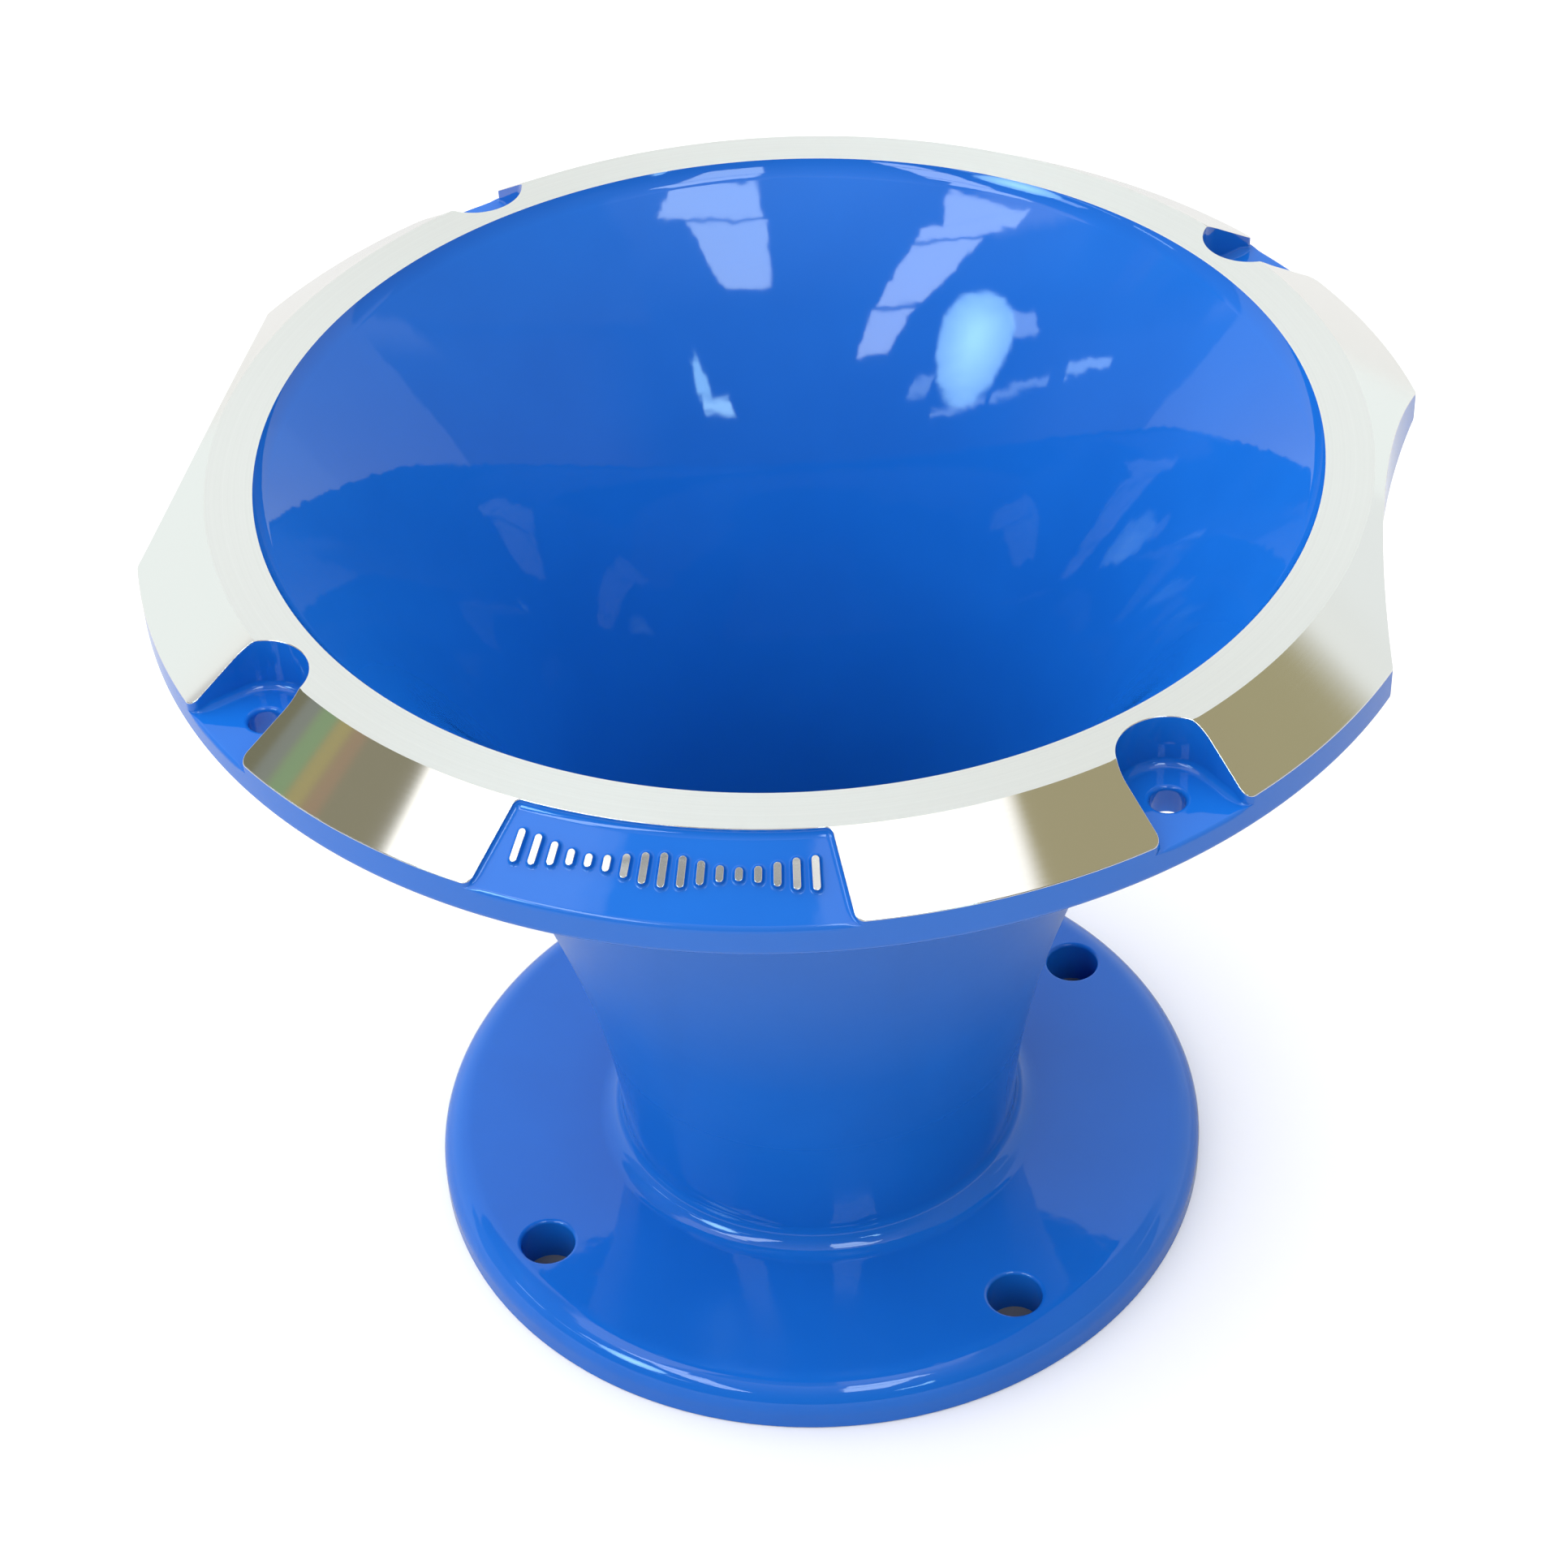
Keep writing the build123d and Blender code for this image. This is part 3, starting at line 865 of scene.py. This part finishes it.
def floor_material():
    """A white floor with a very slight unevenness, and painted shade in gloss and under the driver flange."""
    material, tree, shader = new_material("studio_floor")
    place = node(tree, "ShaderNodeTexCoord").outputs["Object"]
    clouds = node(tree, "ShaderNodeTexNoise", {"Vector": place, "Scale": 1.2, "Detail": 2.0})
    shade = node(tree, "ShaderNodeMapRange", {"Value": clouds.outputs["Fac"], "To Min": 0.88, "To Max": 0.92})
    axes = node(tree, "ShaderNodeSeparateXYZ", {0: place})
    light_path = node(tree, "ShaderNodeLightPath")
    # In gloss the floor is dimmer towards the front, a painted shade that only reflections show, and it sends less
    # light up than a white one.
    inputs = {"Value": axes.outputs["Y"], "From Min": -0.25, "From Max": 0.1, "To Min": 0.55, "To Max": 0.6}
    dimmed = node(tree, "ShaderNodeMapRange", inputs).outputs["Result"]
    seen = node(tree, "ShaderNodeMix", {0: light_path.outputs["Is Glossy Ray"], 2: 1.0, 3: dimmed}).outputs[0]
    seen = node(tree, "ShaderNodeMix", {0: light_path.outputs["Is Diffuse Ray"], 2: seen, 3: FLOOR_BOUNCE}).outputs[0]
    # Under the driver flange it is dark, a painted shadow, which shows through the bolt holes.
    plan = node(tree, "ShaderNodeCombineXYZ", {"X": axes.outputs["X"], "Y": axes.outputs["Y"]}).outputs["Vector"]
    distance = node(tree, "ShaderNodeVectorMath", {0: plan}, operation="LENGTH").outputs["Value"]
    inputs = {"Value": distance, "From Min": 0.057, "From Max": 0.0585, "To Min": 0.2, "To Max": 1.0}
    painted_flange_shadow = node(tree, "ShaderNodeMapRange", inputs).outputs["Result"]
    shade = node(tree, "ShaderNodeMath", {0: shade.outputs["Result"], 1: seen}, operation="MULTIPLY")
    shade = node(tree, "ShaderNodeMath", {0: shade.outputs["Value"], 1: painted_flange_shadow}, operation="MULTIPLY")
    tree.links.new(shade.outputs["Value"], shader.inputs["Base Color"])
    shader.inputs["Roughness"].default_value = 0.9
    shader.inputs["Specular IOR Level"].default_value = 0.1
    return material


bpy.ops.mesh.primitive_plane_add(size=FLOOR_SIDE, location=(0.0, 0.0, 0.0))
floor_piece = bpy.context.object
floor_piece.name = "studio_floor"
floor_piece.data.materials.append(floor_material())


# What gloss and bright metal reflect. Each panel lies between two elevations and leans between two pairs
# of azimuths, one at its lower edge and one at its upper edge, all in degrees as seen from the object.
# (lower, upper), (azimuths at the lower edge), (azimuths at the upper edge),
# (softness at the left, at the right, at the ends), colour
PANELS = (
    # The room's sides: a faint glow low down, with pale windows over it, and pale walls behind.
    ((-5.0, 33.0), (60.0, 130.0), (60.0, 130.0), (14.0, 3.0, 4.0), (0.38, 0.38, 0.40)),
    ((-5.0, 33.0), (-130.0, -62.0), (-130.0, -62.0), (3.0, 14.0, 4.0), (0.34, 0.35, 0.38)),
    ((-5.0, 31.0), (100.9, 215.0), (120.5, 215.0), (0.6, 0.6, 3.0), (0.86, 0.91, 0.93)),
    ((-5.0, 30.0), (-215.0, -86.4), (-215.0, -109.6), (0.6, 0.6, 3.0), (0.93, 1.00, 1.01)),
    ((28.0, 75.0), (140.0, 220.0), (140.0, 220.0), (8.0, 8.0, 4.0), (0.90, 0.90, 0.885)),
    ((60.0, 89.0), (110.0, 250.0), (110.0, 250.0), (10.0, 10.0, 5.0), (0.45, 0.46, 0.45)),
    ((27.0, 60.0), (-145.0, -100.0), (-145.0, -136.0), (2.0, 2.0, 3.0), (0.93, 0.93, 0.92)),
    ((29.0, 64.0), (106.0, 215.0), (150.0, 215.0), (2.0, 2.0, 3.0), (0.86, 0.90, 0.90)),
    # Dim tan walls on either side, with a white one above the left one.
    ((33.0, 49.0), (48.4, 122.0), (53.4, 141.0), (3.2, 9.0, 1.2), (0.39, 0.36, 0.215)),
    ((46.0, 64.0), (52.4, 141.0), (68.4, 146.0), (3.2, 6.0, 1.2), (0.385, 0.35, 0.215)),
    ((62.0, 72.0), (66.4, 146.0), (93.4, 146.0), (3.2, 3.2, 1.5), (0.385, 0.35, 0.215)),
    ((45.0, 70.0), (-69.5, -46.0), (-122.0, -46.0), (3.4, 2.2, 1.5), (1.60, 1.60, 1.58)),
    ((26.0, 52.0), (-98.5, -58.0), (-128.0, -80.0), (2.2, 3.4, 1.5), (0.27, 0.255, 0.18)),
    ((49.0, 60.0), (-126.0, -75.5), (-126.0, -108.0), (2.2, 3.4, 1.5), (0.27, 0.255, 0.18)),
    ((30.0, 47.0), (-103.0, -87.0), (-124.0, -107.5), (1.2, 1.2, 2.0), (0.190, 0.188, 0.125)),
    # Thin strips of broken colour, which the turned rings throw.
    ((33.0, 46.0), (-91.4, -87.4), (-110.5, -104.8), (1.0, 1.0, 3.0), (0.240, 0.265, 0.240)),
    ((33.0, 46.0), (-87.4, -83.0), (-104.8, -98.6), (1.2, 1.2, 3.0), (0.245, 0.360, 0.205)),
    ((33.0, 46.0), (-83.0, -79.6), (-98.6, -93.6), (1.2, 1.2, 3.0), (0.400, 0.350, 0.165)),
    ((33.0, 46.0), (-79.6, -76.6), (-93.6, -89.6), (1.2, 1.2, 3.0), (0.360, 0.262, 0.180)),
    # A grey patch overhead, which the bars' tops reflect.
    ((62.0, 80.0), (-42.0, 14.0), (-42.0, 14.0), (1.5, 1.5, 1.5), (0.30, 0.31, 0.32)),
    # Two skylights with glazing bars.
    ((38.6, 51.1), (14.4, 27.0), (14.4, 36.8), (0.25, 0.25, 0.25), (6.0, 7.2, 8.0)),
    ((51.6, 57.6), (15.4, 45.0), (17.0, 41.0), (0.25, 0.25, 0.25), (6.2, 7.4, 8.2)),
    ((28.8, 33.5), (-18.8, -9.8), (-26.2, -13.6), (0.25, 0.25, 0.25), (6.0, 7.0, 8.0)),
    ((34.1, 44.8), (-27.4, -14.4), (-44.5, -25.0), (0.25, 0.25, 0.25), (6.2, 7.2, 8.0)),
    ((45.3, 47.5), (-53.0, -25.4), (-57.0, -28.0), (0.25, 0.25, 0.25), (6.2, 7.2, 8.2)),
    ((47.4, 52.6), (-54.5, -33.6), (-38.0, -35.5), (0.25, 0.25, 0.25), (6.2, 7.2, 8.2)),
    # A row of tubes and two small lamps.
    ((20.4, 21.2), (-49.0, -33.0), (-49.0, -33.0), (0.3, 0.3, 0.3), (2.6, 3.6, 4.3)),
    ((20.5, 21.4), (-66.0, -50.5), (-66.0, -50.5), (0.3, 0.3, 0.3), (2.6, 3.6, 4.3)),
    ((20.3, 21.9), (-81.0, -70.0), (-81.0, -70.0), (0.3, 0.3, 0.3), (3.5, 5.0, 6.0)),
    ((23.2, 25.1), (-31.6, -25.0), (-33.4, -27.0), (0.4, 0.4, 0.4), (2.5, 3.6, 4.4)),
    ((26.8, 31.0), (-60.2, -53.6), (-58.6, -51.6), (0.4, 0.4, 0.4), (3.4, 4.4, 5.0)),
    ((23.3, 25.0), (27.5, 37.0), (29.0, 37.0), (0.5, 0.5, 0.5), (6.6, 11.0, 12.5)),
    ((25.0, 29.6), (34.0, 38.5), (36.5, 38.5), (0.5, 0.5, 0.7), (5.0, 9.0, 10.5)),
)
SKY_BASE = 0.36              # soft light for everything else: its strength at the horizon
SKY_GAINS = (-0.8, -0.22, 2.08)    # and how much it grows towards +X, +Y and overhead
LAMP_AZIMUTH = -43.2
LAMP_ELEVATION = 28.1
LAMP_HALF_SIZES = (10.6, 7.6)
LAMP_COLOUR = (9.0, 15.5, 18.0)


def rises(tree, value, start, softness):
    """0 below start, 1 above it, with a smooth step between."""
    inputs = {"Value": calculate(tree, "SUBTRACT", value, start), "From Min": -softness, "From Max": softness}
    return node(tree, "ShaderNodeMapRange", inputs, interpolation_type="SMOOTHSTEP").outputs["Result"]


def laid_over(tree, below, colour, share):
    """A colour laid over another by a share."""
    mix = node(tree, "ShaderNodeMix", data_type="RGBA")
    tree.links.new(share, mix.inputs[0])
    tree.links.new(below, mix.inputs[6])
    mix.inputs[7].default_value = (*colour, 1.0)
    return mix.outputs[2]


def surroundings(tree):
    """The room as gloss and metal see it, as a colour by direction."""
    axes = node(tree, "ShaderNodeSeparateXYZ", {0: node(tree, "ShaderNodeTexCoord").outputs["Generated"]})
    front = calculate(tree, "MULTIPLY", axes.outputs["Y"], -1.0)
    azimuth = calculate(tree, "DEGREES", calculate(tree, "ARCTAN2", axes.outputs["X"], front))
    elevation = calculate(tree, "DEGREES", calculate(tree, "ARCSINE", axes.outputs["Z"]))
    wrapped = calculate(tree, "WRAP", azimuth, 360.0, 0.0)
    ramp = node(tree, "ShaderNodeValToRGB", {"Fac": calculate(tree, "DIVIDE", elevation, 90.0)})
    stops = ramp.color_ramp.elements
    stops[0].position, stops[0].color = 0.0, (0.10, 0.105, 0.11, 1.0)
    stops[1].position, stops[1].color = 0.73, (1.40, 1.40, 1.40, 1.0)
    for position, grey in ((0.20, 0.13), (0.38, 0.26), (0.48, 0.42), (0.56, 0.54), (0.64, 0.70)):
        stops.new(position).color = (grey, grey, grey, 1.0)
    colour = ramp.outputs["Color"]
    for (low, high), (left, right), (left_up, right_up), softness, shade in PANELS:
        around = wrapped if right > 180.0 else azimuth
        if left < -180.0:
            around = calculate(tree, "WRAP", azimuth, 0.0, -360.0)
        height = calculate(tree, "SUBTRACT", elevation, low)
        left_edge = calculate(tree, "MULTIPLY_ADD", height, (left_up - left) / (high - low), left)
        right_edge = calculate(tree, "MULTIPLY_ADD", height, (right_up - right) / (high - low), right)
        left_soft, right_soft, end_soft = softness
        past_left = rises(tree, around, left_edge, left_soft)
        share = calculate(tree, "MULTIPLY", past_left, rises(tree, elevation, low, end_soft))
        share = calculate(tree, "SUBTRACT", share, rises(tree, around, right_edge, right_soft))
        share = calculate(tree, "SUBTRACT", share, rises(tree, elevation, high, end_soft))
        colour = laid_over(tree, colour, shade, calculate(tree, "MAXIMUM", share, 0.0))
    across = calculate(tree, "DIVIDE", calculate(tree, "SUBTRACT", azimuth, LAMP_AZIMUTH), LAMP_HALF_SIZES[0])
    up = calculate(tree, "DIVIDE", calculate(tree, "SUBTRACT", elevation, LAMP_ELEVATION), LAMP_HALF_SIZES[1])
    distance = calculate(
        tree, "SQRT", calculate(tree, "ADD", calculate(tree, "POWER", across, 2.0), calculate(tree, "POWER", up, 2.0))
    )
    inputs = {"Value": distance, "From Min": 1.04, "From Max": 0.88}
    disc = node(tree, "ShaderNodeMapRange", inputs, interpolation_type="SMOOTHSTEP").outputs["Result"]
    inputs = {"Value": distance, "From Min": 0.95, "From Max": 0.1, "To Min": 0.5, "To Max": 1.0}
    glow = calculate(tree, "MULTIPLY", disc, node(tree, "ShaderNodeMapRange", inputs).outputs["Result"])
    return laid_over(tree, colour, LAMP_COLOUR, glow)


world = bpy.data.worlds.new("studio")
bpy.context.scene.world = world
world.use_nodes = True
world.cycles.sampling_method = "NONE"
tree = world.node_tree
background = next(n for n in tree.nodes if n.type == "BACKGROUND")
heading = node(tree, "ShaderNodeTexCoord").outputs["Generated"]
slope = node(tree, "ShaderNodeVectorMath", {0: heading, 1: SKY_GAINS}, operation="DOT_PRODUCT").outputs["Value"]
soft_light = calculate(tree, "MAXIMUM", calculate(tree, "ADD", slope, SKY_BASE), 0.0)
white = node(tree, "ShaderNodeCombineColor", {"Red": soft_light, "Green": soft_light, "Blue": soft_light})
choice = node(tree, "ShaderNodeMix", data_type="RGBA")
tree.links.new(node(tree, "ShaderNodeLightPath").outputs["Is Glossy Ray"], choice.inputs[0])
tree.links.new(white.outputs["Color"], choice.inputs[6])
tree.links.new(surroundings(tree), choice.inputs[7])
tree.links.new(choice.outputs[2], background.inputs["Color"])
background.inputs["Strength"].default_value = 1.0

camera_data = bpy.data.cameras.new("camera")
camera_data.sensor_width = 36.0
camera_data.lens = 81.28
camera = bpy.data.objects.new("camera", camera_data)
camera.location = (0.08084, -0.38147, 0.41506)
camera.rotation_euler = np.radians((48.777, 2.374, 10.315))
bpy.context.scene.collection.objects.link(camera)
bpy.context.scene.camera = camera
bpy.context.scene.view_settings.view_transform = "Standard"
